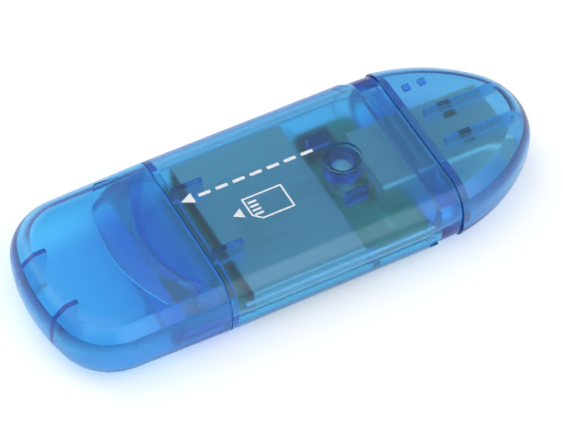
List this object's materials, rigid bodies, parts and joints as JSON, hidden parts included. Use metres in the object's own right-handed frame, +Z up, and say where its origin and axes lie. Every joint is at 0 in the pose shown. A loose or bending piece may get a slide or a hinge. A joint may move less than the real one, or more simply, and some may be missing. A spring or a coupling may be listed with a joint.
{
  "type": "usb memory card reader",
  "caption": "Pocket memory card reader in translucent blue plastic, with a card slot at one end, a plug at the other and a push-on cap over each.",
  "frame": {"origin": "middle of the underside", "axes": "+X along the reader towards the plug, +Y across it, +Z up out of the face with the lamp"},
  "size_m": [0.08, 0.03, 0.011],
  "materials": {
    "translucent_blue": "clear tinted gloss",
    "board_green": "solder mask",
    "lamp_milk": "milky gloss",
    "tinned_metal": "tinned",
    "plated_steel": "nickel plated",
    "insulator_white": "satin",
    "insulator_black": "satin",
    "gold_contact": "gold flash",
    "chip_black": "moulded matte",
    "capacitor_tan": "fired ceramic",
    "resistor_black": "glazed"
  },
  "bodies": {
    "reader": {"upper_shell": "translucent_blue", "lower_shell": "translucent_blue", "circuit_board": "board_green", "activity_lamp": "lamp_milk", "lamp_leads": "tinned_metal", "plug_shell": "plated_steel", "plug_tongue": "insulator_white", "socket_frame": "insulator_black", "socket_cover": "plated_steel", "controller_chip": "chip_black", "controller_leads": "tinned_metal", "clock_crystal": "plated_steel", "card_contact_1": "gold_contact", "card_contact_2": "gold_contact", "card_contact_3": "gold_contact", "card_contact_4": "gold_contact", "card_contact_5": "gold_contact", "card_contact_6": "gold_contact", "card_contact_7": "gold_contact", "card_contact_8": "gold_contact", "card_contact_9": "gold_contact", "card_detect_spring": "gold_contact", "write_lock_spring": "gold_contact", "plug_contact_1": "gold_contact", "plug_contact_2": "gold_contact", "plug_contact_3": "gold_contact", "plug_contact_4": "gold_contact", "capacitor_1": "capacitor_tan", "capacitor_2": "capacitor_tan", "capacitor_3": "capacitor_tan", "capacitor_4": "capacitor_tan", "resistor_1": "resistor_black", "resistor_2": "resistor_black", "resistor_3": "resistor_black"},
    "card_cap": {"card_cap": "translucent_blue"},
    "plug_cap": {"plug_cap": "translucent_blue"}
  },
  "joints": [
    {"name": "card_cap_pull", "type": "slide", "parent": "reader", "child": "card_cap", "axis": [-1, 0, 0], "range_m": [0, 0.012]},
    {"name": "plug_cap_pull", "type": "slide", "parent": "reader", "child": "plug_cap", "axis": [1, 0, 0], "range_m": [0, 0.02]}
  ]
}
